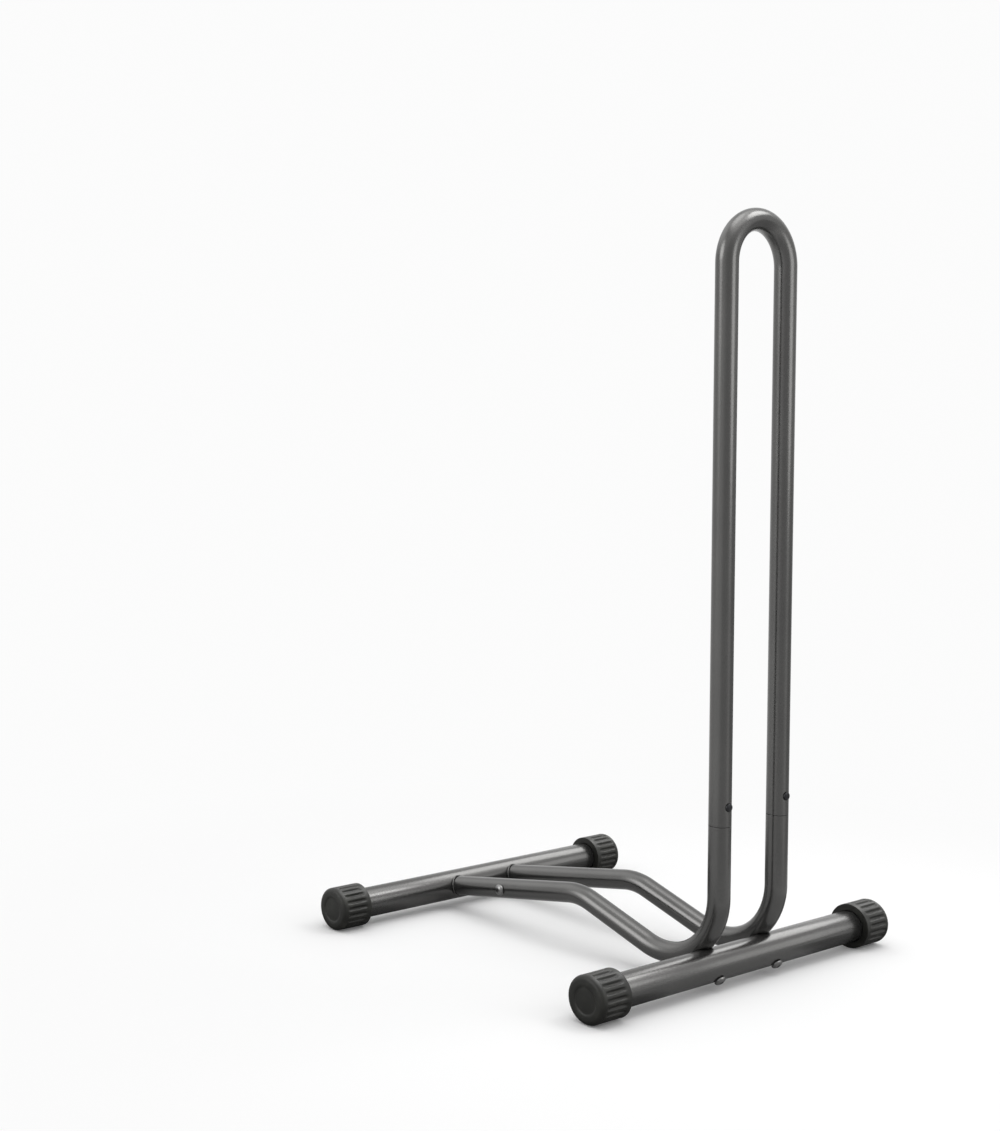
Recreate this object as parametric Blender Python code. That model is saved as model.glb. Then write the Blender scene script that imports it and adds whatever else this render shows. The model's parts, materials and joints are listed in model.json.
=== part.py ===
"""Floor bike stand: a hoop of round tube that stands on two bent rails and two cross tubes.

The front wheel of a bicycle rolls in between the two rails and stands between the hoop's legs.
The hoop's legs slip over the drawn-in upper ends of the rails and are held by sprung snap buttons.
Each rail slips over a stub that is welded to the rear cross tube, and its lower bend has a pressed
saddle that sits on the front cross tube, where a bolt pulls it down. Ribbed caps are the feet.

Frame: +X is forwards, towards the hoop, +Y is left, +Z is up. The origin lies on the floor, in the
middle of the stand. The right side is -Y. Lengths are in metres.
"""

import math

import bmesh
import bpy
from mathutils import Matrix, Vector

# Overall sizes
STAND_HEIGHT = 0.8727
STAND_WIDTH = 0.500
LEG_SPACING = 0.100
LEG_REACH = 0.4555  # from the rear cross tube's axis to the legs' axes

# Hoop and rail tube
TUBE_DIAMETER = 0.0254
TUBE_WALL = 0.0015
SIDES = 22  # round the tubes
HOOP_BEND_STEPS = 14

# Cross tubes
CROSS_DIAMETER = 0.0381
CROSS_WALL = 0.0015
CROSS_SIDES = 32

# The rail's shape, seen from the side
PEAK_REACH = 0.2415  # from the rear cross tube's axis to the corner of the hump
PEAK_HEIGHT = 0.0674
RAMP_ANGLE = math.radians(18.1)
PEAK_BEND_RADIUS = 0.080
PEAK_BEND_STEPS = 3
LOWER_BEND_RADIUS = 0.080
LOWER_BEND_STEPS = 11
BEND_FLATTENING = 0.06  # share of its diameter that the tube loses in the middle of the lower bend
SADDLE_DEPTH = 0.0051  # how far the lower bend is pressed in over the front cross tube

# The plug joint between rail and hoop
JOINT_HEIGHT = 0.190
PLUG_LENGTH = 0.060
NECK_LENGTH = 0.0024  # where the rail is drawn in to the plug's diameter
PLUG_CHAMFER = 0.0008

# Snap button and its leaf spring
BUTTON_ABOVE_JOINT = 0.022
BUTTON_DIAMETER = 0.0094
BUTTON_STAND_OUT = 0.0023
BUTTON_DOME = 0.0018
RIVET_DIAMETER = 0.0030
RIVET_HEAD_DIAMETER = 0.0056
RIVET_HEAD_HEIGHT = 0.0008
SPRING_WIDTH = 0.0080
SPRING_THICKNESS = 0.0008
SPRING_ABOVE_BUTTON = 0.012
SPRING_BELOW_BUTTON = 0.026

# Stub on the rear cross tube
STUB_REACH = 0.135  # from the cross tube's axis, along the rail
STUB_WALL = 0.0015
WELD_RADIUS = 0.0012
WELD_SIDES = 6

# Fasteners
BOLT_DIAMETER = 0.0080
HEAD_DIAMETER = 0.0140
HEAD_HEIGHT = 0.0044
HEAD_RIM = 0.0008
SOCKET_WIDTH = 0.0050
SOCKET_DEPTH = 0.0026
NUT_WIDTH = 0.0130
NUT_HEIGHT = 0.0065
BOLT_PAST_NUT = 0.0020
RAIL_BOLT_REACH = 0.113  # from the rear cross tube's axis, along the rail
SADDLE_BOLT_TURN = math.radians(6.0)  # how far the bolt is turned forwards from the saddle's middle
BOLT_SIDES = 16

# End caps
CAP_DIAMETER = 0.0544
CAP_LENGTH = 0.044
CAP_END_WALL = 0.0040
CAP_EDGE_RADIUS = 0.0050
CAP_RIM = 0.0060  # plain rim at the open end
RIB_COUNT = 20
GROOVE_WIDTH = 0.0032
GROOVE_DEPTH = 0.0016
GROOVE_RUN_OUT = 0.0020

GAP = 0.0003  # between pieces that touch

# Worked out from the sizes above
TUBE_R = TUBE_DIAMETER / 2
TUBE_BORE_R = TUBE_R - TUBE_WALL
PLUG_R = TUBE_BORE_R - GAP
PLUG_BORE_R = PLUG_R - TUBE_WALL
STUB_R = TUBE_BORE_R - GAP
STUB_BORE_R = STUB_R - STUB_WALL
CROSS_R = CROSS_DIAMETER / 2
CAP_R = CAP_DIAMETER / 2
HOLE_R = BOLT_DIAMETER / 2 + GAP
BUTTON_HOLE_R = BUTTON_DIAMETER / 2 + GAP
GROOVE_ANGLE = GROOVE_WIDTH / CAP_R
RIB_ANGLE = 2 * math.pi / RIB_COUNT - GROOVE_ANGLE
CROSS_HEIGHT = CAP_R * math.cos(RIB_ANGLE / 2)  # a rib's flat top lies on the floor
BUTTON_HEIGHT = JOINT_HEIGHT + BUTTON_ABOVE_JOINT
CAP_SEAT = STAND_WIDTH / 2 - CAP_END_WALL - GAP  # where a cross tube ends inside its caps
SIDE_SIGNS = {"right": -1, "left": 1}

# The rail's outline, with X measured from the rear cross tube's axis
LOWER_CORNER_HEIGHT = PEAK_HEIGHT - (LEG_REACH - PEAK_REACH) * math.tan(RAMP_ANGLE)
LOWER_BEND_TURN = math.pi / 2 + RAMP_ANGLE
LOWER_BEND_X = LEG_REACH - LOWER_BEND_RADIUS
LOWER_BEND_Z = LOWER_CORNER_HEIGHT + LOWER_BEND_RADIUS * math.tan(LOWER_BEND_TURN / 2)
# The front cross tube lies where the lower bend sinks onto it by the saddle's depth
SADDLE_REACH = LOWER_BEND_RADIUS + TUBE_R * (1 - BEND_FLATTENING) + CROSS_R - SADDLE_DEPTH
SADDLE_RISE = LOWER_BEND_Z - CROSS_HEIGHT
CROSS_SPACING = LOWER_BEND_X + math.sqrt(SADDLE_REACH**2 - SADDLE_RISE**2)
REAR_X = -CROSS_SPACING / 2
FRONT_X = CROSS_SPACING / 2
LEG_X = REAR_X + LEG_REACH
REAR_AXIS = Vector((REAR_X, 0, CROSS_HEIGHT))
FRONT_AXIS = Vector((FRONT_X, 0, CROSS_HEIGHT))
PEAK = Vector((REAR_X + PEAK_REACH, 0, PEAK_HEIGHT))
RAIL_DIRECTION = (PEAK - REAR_AXIS).normalized()
RAIL_START = CROSS_R + 2 * GAP + 2 * WELD_RADIUS  # leaves room for the weld round the stub
# Along the bolt of the front cross tube, from its head to its nut
SADDLE_NORMAL_ANGLE = math.atan2(SADDLE_RISE, REAR_X + LOWER_BEND_X - FRONT_X)
SADDLE_BOLT_ANGLE = SADDLE_NORMAL_ANGLE + SADDLE_BOLT_TURN
SADDLE_BOLT_DIRECTION = Vector((math.cos(SADDLE_BOLT_ANGLE), 0, math.sin(SADDLE_BOLT_ANGLE)))
# The button's place along its own axis, from the leg's axis forwards
SPRING_REACH = math.sqrt((PLUG_BORE_R - GAP) ** 2 - (SPRING_WIDTH / 2) ** 2)
BUTTON_BASE = SPRING_REACH + GAP
BUTTON_TIP = TUBE_R + BUTTON_STAND_OUT


def clear_scene():
    for item in list(bpy.data.objects):
        bpy.data.objects.remove(item, do_unlink=True)


def make_material(name, colour, roughness, metallic):
    material = bpy.data.materials.new(name)
    material.use_nodes = True
    shader = material.node_tree.nodes["Principled BSDF"]
    shader.inputs["Base Color"].default_value = (*colour, 1.0)
    shader.inputs["Roughness"].default_value = roughness
    shader.inputs["Metallic"].default_value = metallic
    return material


def add_object(name, bm, material=None, place=None):
    """Turn a bmesh into a smooth-shaded object; place is its matrix in the stand's frame."""
    bmesh.ops.remove_doubles(bm, verts=bm.verts, dist=1e-7)
    bmesh.ops.recalc_face_normals(bm, faces=bm.faces)
    mesh = bpy.data.meshes.new(name)
    bm.to_mesh(mesh)
    bm.free()
    mesh.shade_smooth()
    mesh.set_sharp_from_angle(angle=math.radians(35))
    if material is not None:
        mesh.materials.append(material)
    thing = bpy.data.objects.new(name, mesh)
    thing.matrix_world = place or Matrix()
    bpy.context.scene.collection.objects.link(thing)
    return thing


def cut(target, cutter):
    """Cut one object with another, which stays in the file as a hidden wire shape."""
    cutter.display_type = "WIRE"
    cutter.hide_render = True
    boolean = target.modifiers.new("cut by " + cutter.name, "BOOLEAN")
    boolean.operation = "DIFFERENCE"
    boolean.solver = "EXACT"
    boolean.object = cutter


def placed(origin, axis):
    """A matrix that stands local Z along an axis; local X stays in the stand's XZ plane where it can."""
    along = Vector(axis).normalized()
    across = Vector((0, 1, 0))
    if abs(along.dot(across)) > 0.9:
        across = Vector((0, 0, 1))
    first = across.cross(along).normalized()
    second = along.cross(first)
    turn = Matrix((first, second, along)).transposed().to_4x4()
    return Matrix.Translation(origin) @ turn


def circle(radius, count, height=0.0, start=0.0):
    """Points of a circle round local Z."""
    step = 2 * math.pi / count
    return [
        Vector((radius * math.cos(start + step * i), radius * math.sin(start + step * i), height))
        for i in range(count)
    ]


def bridge(bm, first, second):
    for i in range(len(first)):
        j = (i + 1) % len(first)
        bm.faces.new((first[i], first[j], second[j], second[i]))


def add_loops(bm, loops):
    """Join a row of equal loops into a skin and return the loops' vertices."""
    rows = [[bm.verts.new(point) for point in loop] for loop in loops]
    for before, after in zip(rows, rows[1:]):
        bridge(bm, before, after)
    return rows


def solid_from_loops(loops):
    """A closed solid with a flat face over its first and last loop."""
    bm = bmesh.new()
    rows = add_loops(bm, loops)
    bm.faces.new(rows[0])
    bm.faces.new(rows[-1])
    return bm


def ring_from_loops(loops):
    """A closed solid whose last loop joins its first, such as a tube."""
    bm = bmesh.new()
    rows = add_loops(bm, loops)
    bridge(bm, rows[-1], rows[0])
    return bm


def turned(profile, count):
    """A closed solid turned round local Z from (radius, height) pairs, lowest first."""
    return solid_from_loops([circle(radius, count, height) for radius, height in profile])


def round_bar(radius, length, count):
    """A plain round bar along local Z, centred on the origin."""
    return turned([(radius, -length / 2), (radius, length / 2)], count)


def station_loop(station, radius, plane_normal, flattening=0.0):
    """A loop square to a path, where a station is a (point, direction) pair."""
    point, direction = station
    inward = plane_normal.cross(direction) * (1 - flattening)
    step = 2 * math.pi / SIDES
    return [
        point + radius * (math.cos(step * i) * inward + math.sin(step * i) * plane_normal)
        for i in range(SIDES)
    ]


def rounded_path(corners, radii, steps):
    """Stations along straight runs joined by arcs; radii and steps belong to the inner corners."""
    first_direction = (corners[1] - corners[0]).normalized()
    stations = [(corners[0], first_direction)]
    for i, (radius, count) in enumerate(zip(radii, steps), start=1):
        before = (corners[i] - corners[i - 1]).normalized()
        after = (corners[i + 1] - corners[i]).normalized()
        turn = before.angle(after)
        normal = before.cross(after).normalized()
        start = corners[i] - before * radius * math.tan(turn / 2)
        centre = start + normal.cross(before) * radius
        for step in range(count + 1):
            rotation = Matrix.Rotation(turn * step / count, 3, normal)
            stations.append((centre + rotation @ (start - centre), rotation @ before))
    last_direction = (corners[-1] - corners[-2]).normalized()
    stations.append((corners[-1], last_direction))
    return stations


def make_hoop(material):
    leg_y = LEG_SPACING / 2
    bend_height = STAND_HEIGHT - TUBE_R - leg_y
    stations = [(Vector((LEG_X, -leg_y, JOINT_HEIGHT)), Vector((0, 0, 1)))]
    for step in range(HOOP_BEND_STEPS + 1):
        angle = math.pi * step / HOOP_BEND_STEPS
        point = Vector((LEG_X, -leg_y * math.cos(angle), bend_height + leg_y * math.sin(angle)))
        stations.append((point, Vector((0, math.sin(angle), math.cos(angle)))))
    stations.append((Vector((LEG_X, leg_y, JOINT_HEIGHT)), Vector((0, 0, -1))))
    forwards = Vector((1, 0, 0))
    skin = [station_loop(station, TUBE_R, forwards) for station in stations]
    bore = [station_loop(station, TUBE_BORE_R, forwards) for station in stations]
    hoop = add_object("upright_hoop", ring_from_loops(skin + bore[::-1]), material)
    for side, sign in SIDE_SIGNS.items():
        cut(hoop, button_hole_cutter("hoop hole " + side, sign))
    return hoop


def button_hole_cutter(name, sign):
    """A bar through the front walls of a leg and of the plug inside it."""
    middle = Vector((LEG_X + TUBE_R, sign * LEG_SPACING / 2, BUTTON_HEIGHT))
    return add_object(name, round_bar(BUTTON_HOLE_R, TUBE_R, BOLT_SIDES), place=placed(middle, (1, 0, 0)))


def rail_loops(sign, inset, extra):
    """Loops along the rail from its rear end to the top of its plug.

    The inset is 0 for the outside and the wall for the bore, which runs on by a little extra at both
    ends. The tube is flattened in the lower bend, most of all in the bend's middle.
    """
    y = sign * LEG_SPACING / 2
    across = Vector((0, 1, 0))
    shoulder = JOINT_HEIGHT - GAP - NECK_LENGTH
    corners = [
        REAR_AXIS + RAIL_DIRECTION * (RAIL_START - extra),
        PEAK,
        Vector((LEG_X, 0, LOWER_CORNER_HEIGHT)),
        Vector((LEG_X, 0, shoulder)),
    ]
    corners = [point + Vector((0, y, 0)) for point in corners]
    steps = (PEAK_BEND_STEPS, LOWER_BEND_STEPS)
    loops = []
    for station in rounded_path(corners, (PEAK_BEND_RADIUS, LOWER_BEND_RADIUS), steps):
        along_bend = (RAMP_ANGLE + math.atan2(station[1].z, station[1].x)) / LOWER_BEND_TURN
        past_peak = station[0].x > PEAK.x
        flattening = BEND_FLATTENING * math.sin(math.pi * along_bend) ** 2 if past_peak else 0.0
        loops.append(station_loop(station, TUBE_R - inset, across, flattening))
    top = JOINT_HEIGHT + PLUG_LENGTH
    neck = [
        (shoulder + NECK_LENGTH / 2, (TUBE_R + PLUG_R) / 2),
        (shoulder + NECK_LENGTH, PLUG_R),
        (top - PLUG_CHAMFER, PLUG_R),
        (top + extra, PLUG_R if inset else PLUG_R - PLUG_CHAMFER),
    ]
    for height, radius in neck:
        station = (Vector((LEG_X, y, height)), Vector((0, 0, 1)))
        loops.append(station_loop(station, radius - inset, across))
    return loops


def saddle_cutter(name, radius):
    """A round bar where the front cross tube lies."""
    bar = round_bar(radius, STAND_WIDTH, CROSS_SIDES)
    return add_object(name, bar, place=placed(FRONT_AXIS, (0, 1, 0)))


def make_rail(side, sign, material):
    """A bent tube whose wall is pressed in, at its full thickness, where it sits on the cross tube."""
    rail = add_object("rail_" + side, solid_from_loops(rail_loops(sign, 0, 0)), material)
    cut(rail, saddle_cutter("saddle " + side, CROSS_R + GAP))
    bore = add_object("rail bore " + side, solid_from_loops(rail_loops(sign, TUBE_WALL, TUBE_WALL)))
    cut(bore, saddle_cutter("saddle inside " + side, CROSS_R + GAP + TUBE_WALL))
    cut(rail, bore)
    cut(rail, button_hole_cutter("plug hole " + side, sign))
    cut(rail, saddle_bolt_cutter("saddle bolt hole " + side, sign))
    cut(rail, rail_bolt_cutter("rail bolt hole " + side, sign))
    return rail


def saddle_bolt_cutter(name, sign):
    """A bar along the front bolt, through the cross tube and the saddle."""
    middle = FRONT_AXIS + Vector((0, sign * LEG_SPACING / 2, 0))
    length = 2 * (CROSS_R + GAP + TUBE_WALL + NUT_HEIGHT)
    bar = round_bar(HOLE_R, length, BOLT_SIDES)
    return add_object(name, bar, place=placed(middle, SADDLE_BOLT_DIRECTION))


def rail_bolt_place(sign, reach):
    """A point on the rail bolt's axis, at a distance outwards from the rail's axis."""
    y = sign * (LEG_SPACING / 2 + reach)
    return REAR_AXIS + RAIL_DIRECTION * RAIL_BOLT_REACH + Vector((0, y, 0))


def rail_bolt_cutter(name, sign):
    """A bar through the outer walls of the rail and of the stub."""
    bar = round_bar(HOLE_R, TUBE_R, BOLT_SIDES)
    return add_object(name, bar, place=placed(rail_bolt_place(sign, TUBE_R), (0, 1, 0)))


def make_cross_tube(name, axis, material):
    ends = (-CAP_SEAT, CAP_SEAT)
    skin = [circle(CROSS_R, CROSS_SIDES, end) for end in ends]
    bore = [circle(CROSS_R - CROSS_WALL, CROSS_SIDES, end) for end in ends]
    bm = ring_from_loops(skin + bore[::-1])
    return add_object(name, bm, material, placed(axis, (0, 1, 0)))


def make_stub(side, sign, material):
    """A short tube whose end is shaped to the rear cross tube."""
    origin = REAR_AXIS + Vector((0, sign * LEG_SPACING / 2, 0))
    ends = (CROSS_R / 2, STUB_REACH)
    skin = [circle(STUB_R, SIDES, end) for end in ends]
    bore = [circle(STUB_BORE_R, SIDES, end) for end in ends]
    stub = add_object("stub_" + side, ring_from_loops(skin + bore[::-1]), material, placed(origin, RAIL_DIRECTION))
    cope = round_bar(CROSS_R + GAP, STAND_WIDTH, CROSS_SIDES)
    cut(stub, add_object("stub cope " + side, cope, place=placed(REAR_AXIS, (0, 1, 0))))
    cut(stub, rail_bolt_cutter("stub bolt hole " + side, sign))
    return stub


def make_weld(side, sign, material):
    """A bead that runs round the stub's root, along the line where two round tubes meet."""
    origin = REAR_AXIS + Vector((0, sign * LEG_SPACING / 2, 0))
    stub_way = STUB_R + GAP + WELD_RADIUS
    cross_way = CROSS_R + GAP + WELD_RADIUS
    loops = []
    for i in range(SIDES):
        angle = 2 * math.pi * i / SIDES
        out = Vector((math.cos(angle), math.sin(angle), 0))
        height = math.sqrt(cross_way**2 - (stub_way * math.cos(angle)) ** 2)
        centre = out * stub_way + Vector((0, 0, height))
        loops.append([
            centre + WELD_RADIUS * (math.cos(turn) * out + math.sin(turn) * Vector((0, 0, 1)))
            for turn in (2 * math.pi * k / WELD_SIDES for k in range(WELD_SIDES))
        ])
    return add_object("weld_" + side, ring_from_loops(loops), material, placed(origin, RAIL_DIRECTION))


def cap_section(radius, groove_depth, height):
    """A loop round the cap with a groove between each two ribs; one rib points along -Z of the stand."""
    points = []
    for rib in range(RIB_COUNT):
        middle = 2 * math.pi * rib / RIB_COUNT
        edge = middle + RIB_ANGLE / 2
        floor_start = edge + GROOVE_ANGLE * 0.25
        floor_end = edge + GROOVE_ANGLE * 0.75
        polar = (
            (middle - RIB_ANGLE / 2, radius),
            (edge, radius),
            (floor_start, radius - groove_depth),
            (floor_end, radius - groove_depth),
        )
        points += [Vector((r * math.cos(angle), r * math.sin(angle), height)) for angle, r in polar]
    return points


def make_cap(name, axis, sign, material):
    """A thick cap with a rounded closed end, ribs along its side and a plain rim at its mouth."""
    edge = CAP_EDGE_RADIUS
    slope = edge * (1 - math.sqrt(0.5))
    groove_end = CAP_LENGTH - CAP_RIM
    sections = [
        (CAP_R - edge, 0, 0),
        (CAP_R - slope, 0, slope),
        (CAP_R, 0, edge),
        (CAP_R, GROOVE_DEPTH, edge + GROOVE_RUN_OUT),
        (CAP_R, GROOVE_DEPTH, groove_end - GROOVE_RUN_OUT),
        (CAP_R, 0, groove_end),
        (CAP_R, 0, CAP_LENGTH),
    ]
    bm = solid_from_loops([cap_section(*section) for section in sections])
    end = axis + Vector((0, sign * STAND_WIDTH / 2, 0))
    cap = add_object(name, bm, material, placed(end, (0, -sign, 0)))
    bore = turned([(CROSS_R + GAP, CAP_END_WALL), (CROSS_R + GAP, CAP_LENGTH + CAP_RIM)], CROSS_SIDES)
    cut(cap, add_object("bore of " + name, bore, place=placed(end, (0, -sign, 0))))
    return cap


def make_button(side, sign, material):
    """A domed pin with a rivet tail that holds it on the leaf spring."""
    radius = BUTTON_DIAMETER / 2
    rivet_r = RIVET_DIAMETER / 2
    head_r = RIVET_HEAD_DIAMETER / 2
    tail_end = BUTTON_BASE - SPRING_THICKNESS - 2 * GAP
    profile = [
        (head_r, tail_end - RIVET_HEAD_HEIGHT),
        (head_r, tail_end),
        (rivet_r, tail_end),
        (rivet_r, BUTTON_BASE),
        (radius, BUTTON_BASE),
        (radius, BUTTON_TIP - BUTTON_DOME),
    ]
    for angle in (math.radians(30), math.radians(60), math.radians(80)):
        profile.append((radius * math.cos(angle), BUTTON_TIP - BUTTON_DOME * (1 - math.sin(angle))))
    origin = Vector((LEG_X, sign * LEG_SPACING / 2, BUTTON_HEIGHT))
    return add_object("snap_button_" + side, turned(profile, BOLT_SIDES), material, placed(origin, (1, 0, 0)))


def make_button_spring(side, sign, material):
    """A strip bent into a U inside the plug; its front arm carries the button."""
    middle = SPRING_REACH - SPRING_THICKNESS / 2
    top = BUTTON_HEIGHT + SPRING_ABOVE_BUTTON
    bottom = BUTTON_HEIGHT - SPRING_BELOW_BUTTON
    corners = [
        Vector((middle, 0, top)),
        Vector((middle, 0, bottom)),
        Vector((-middle, 0, bottom)),
        Vector((-middle, 0, top)),
    ]
    bend = middle * 0.9
    path = rounded_path(corners, (bend, bend), (5, 5))
    loops = []
    for point, direction in path:
        across = direction.cross(Vector((0, 1, 0))) * SPRING_THICKNESS / 2
        half = Vector((0, SPRING_WIDTH / 2, 0))
        loops.append([point + across + half, point + across - half, point - across - half, point - across + half])
    origin = Vector((LEG_X, sign * LEG_SPACING / 2, 0))
    spring = add_object("button_spring_" + side, solid_from_loops(loops), material, Matrix.Translation(origin))
    hole = round_bar(RIVET_DIAMETER / 2 + GAP, 4 * SPRING_THICKNESS, BOLT_SIDES)
    hole_place = origin + Vector((middle, 0, BUTTON_HEIGHT))
    cut(spring, add_object("rivet hole " + side, hole, place=placed(hole_place, (1, 0, 0))))
    return spring


def make_bolt(name, place, length, material):
    """A button-head bolt: local Z runs from its head's seat towards its tip."""
    radius = BOLT_DIAMETER / 2
    head_r = HEAD_DIAMETER / 2
    dome = HEAD_HEIGHT - HEAD_RIM
    profile = []
    for angle in (math.radians(62), math.radians(35), 0.0):
        profile.append((head_r * math.cos(angle), -HEAD_RIM - dome * math.sin(angle)))
    profile += [(head_r, 0), (radius, 0), (radius, length - radius / 4), (radius * 0.75, length)]
    bolt = add_object(name, turned(profile, BOLT_SIDES), material, place)
    depth_from = -HEAD_HEIGHT - SOCKET_DEPTH
    socket_r = SOCKET_WIDTH / math.sqrt(3)
    socket = turned([(socket_r, depth_from), (socket_r, SOCKET_DEPTH - HEAD_HEIGHT)], 6)
    cut(bolt, add_object("socket of " + name, socket, place=place))
    return bolt


def make_nut(name, place, material):
    """A hexagonal nut whose near face is at local zero."""
    outer_r = NUT_WIDTH / math.sqrt(3)
    bm = turned([(outer_r, 0), (outer_r, NUT_HEIGHT)], 6)
    nut = add_object(name, bm, material, place)
    bore = turned([(HOLE_R, -GAP), (HOLE_R, NUT_HEIGHT + GAP)], BOLT_SIDES)
    cut(nut, add_object("bore of " + name, bore, place=place))
    return nut


def make_front_fasteners(side, sign, material):
    """The bolt that pulls the rail's saddle onto the front cross tube."""
    middle = FRONT_AXIS + Vector((0, sign * LEG_SPACING / 2, 0))
    direction = SADDLE_BOLT_DIRECTION
    head_seat = middle - direction * (CROSS_R + GAP)
    nut_start = middle + direction * (CROSS_R + TUBE_WALL + 2 * GAP)
    nut_end = nut_start + direction * NUT_HEIGHT
    length = (nut_end - head_seat).length + BOLT_PAST_NUT
    make_bolt("front_bolt_" + side, placed(head_seat, direction), length, material)
    make_nut("front_nut_" + side, placed(nut_start, direction), material)


def make_rail_fasteners(side, sign, material):
    """The bolt that holds the rail on the rear stub."""
    inwards = Vector((0, -sign, 0))
    head_seat = rail_bolt_place(sign, TUBE_R + GAP)
    corner_r = NUT_WIDTH / math.sqrt(3)
    nut_reach = math.sqrt((STUB_BORE_R - GAP) ** 2 - corner_r**2)
    nut_start = rail_bolt_place(sign, nut_reach)
    nut_end = nut_start + inwards * NUT_HEIGHT
    length = (nut_end - head_seat).length + BOLT_PAST_NUT
    make_bolt("rail_bolt_" + side, placed(head_seat, inwards), length, material)
    make_nut("rail_nut_" + side, placed(nut_start, inwards), material)


def build():
    clear_scene()
    coat = make_material("gunmetal_coat", (0.105, 0.105, 0.107), 0.38, 0.55)
    cap_black = make_material("cap_black", (0.028, 0.028, 0.027), 0.62, 0.0)
    zinc = make_material("zinc", (0.60, 0.61, 0.62), 0.28, 1.0)
    black_steel = make_material("black_steel", (0.020, 0.019, 0.024), 0.35, 0.6)
    spring_steel = make_material("spring_steel", (0.36, 0.36, 0.37), 0.30, 1.0)

    make_hoop(coat)
    make_cross_tube("front_cross_tube", FRONT_AXIS, coat)
    front_tube = bpy.data.objects["front_cross_tube"]
    make_cross_tube("rear_cross_tube", REAR_AXIS, coat)
    for side, sign in SIDE_SIGNS.items():
        make_rail(side, sign, coat)
        make_stub(side, sign, coat)
        make_weld(side, sign, coat)
        make_cap("end_cap_front_" + side, FRONT_AXIS, sign, cap_black)
        make_cap("end_cap_rear_" + side, REAR_AXIS, sign, cap_black)
        make_button(side, sign, black_steel)
        make_button_spring(side, sign, spring_steel)
        make_front_fasteners(side, sign, zinc)
        make_rail_fasteners(side, sign, zinc)
        cut(front_tube, saddle_bolt_cutter("cross tube bolt hole " + side, sign))


build()
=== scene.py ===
# %% [markdown]
# # A floor bike stand
#
# The stand is a tall hoop of bent tube on two low rails and two cross tubes with ribbed end caps.
# A solid model of it, with every sub-part in its real place, is loaded first. This lesson dresses
# that model: it makes smooth, close-up versions of the visible parts and gives each its finish.
# Lengths are in metres, +X points towards the hoop, +Z is up, and the floor is at zero.

# %% Load the solid model
import json
import math

import bmesh
import bpy
from mathutils import Matrix, Vector


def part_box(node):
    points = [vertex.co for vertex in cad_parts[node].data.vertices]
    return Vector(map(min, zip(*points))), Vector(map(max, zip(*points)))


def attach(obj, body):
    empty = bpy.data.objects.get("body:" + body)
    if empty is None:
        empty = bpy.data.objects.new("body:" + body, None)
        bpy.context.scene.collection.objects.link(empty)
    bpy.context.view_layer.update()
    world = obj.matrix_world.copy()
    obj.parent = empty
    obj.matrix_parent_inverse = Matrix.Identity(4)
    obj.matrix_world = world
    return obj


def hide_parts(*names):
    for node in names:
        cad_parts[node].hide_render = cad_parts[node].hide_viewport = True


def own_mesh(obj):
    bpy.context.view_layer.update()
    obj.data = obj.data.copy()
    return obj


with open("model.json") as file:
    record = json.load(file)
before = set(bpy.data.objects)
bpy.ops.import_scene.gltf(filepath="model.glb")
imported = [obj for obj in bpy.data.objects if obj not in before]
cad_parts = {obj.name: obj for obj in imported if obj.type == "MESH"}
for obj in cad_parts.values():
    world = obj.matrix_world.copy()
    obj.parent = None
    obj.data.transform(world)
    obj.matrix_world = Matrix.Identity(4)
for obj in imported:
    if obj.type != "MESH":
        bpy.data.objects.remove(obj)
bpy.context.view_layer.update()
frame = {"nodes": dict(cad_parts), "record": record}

SIDES = {"right": -1, "left": 1}


# %% [markdown]
# ## Places and sizes
#
# The solid model says where everything is, so a place is measured on it and not typed in again.
# The sizes that shape the tubes are those of the real stand: 25.4 mm tube for hoop and rails, and
# 38.1 mm tube across the floor.

# %% Measure the solid model
def middle(node):
    """The middle of a sub-part's box."""
    low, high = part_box(node)
    return (low + high) / 2


TUBE_RADIUS = 0.0127
TUBE_WALL = 0.0015
CROSS_RADIUS = 0.01905
CROSS_WALL = 0.0015
GAP = 0.0003  # between two parts that touch

LEG_X = middle("upright_hoop").x
LEG_Y = middle("rail_left").y
JOINT_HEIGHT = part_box("upright_hoop")[0].z
HOOP_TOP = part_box("upright_hoop")[1].z
REAR_AXIS = middle("rear_cross_tube")
FRONT_AXIS = middle("front_cross_tube")
print("legs at x %.4f, y %.4f; hoop from %.3f to %.3f" % (LEG_X, LEG_Y, JOINT_HEIGHT, HOOP_TOP))


# %% [markdown]
# ## Camera
#
# The picture of the stand was taken from the front right, a little above the
# hoop's middle, and its frame was cut from a wider one. So the camera stands at the same place,
# and its lens is shifted sideways by the same amount. The sensor has the picture's own shape.

# %% Camera
PICTURE_WIDTH = 1000
PICTURE_HEIGHT = 1131
FOCAL_LENGTH_PX = 1635.9
OPTICAL_CENTRE_PX = (300.0, 592.5)
SENSOR_HEIGHT_MM = 36.0
CAMERA_FROM_REAR_AXIS = Vector((1.6390, -1.4827, 0.6026))
CAMERA_AZIMUTH = math.radians(54.10)
CAMERA_ELEVATION = math.radians(4.70)
CAMERA_ROLL = math.radians(-0.48)


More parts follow.
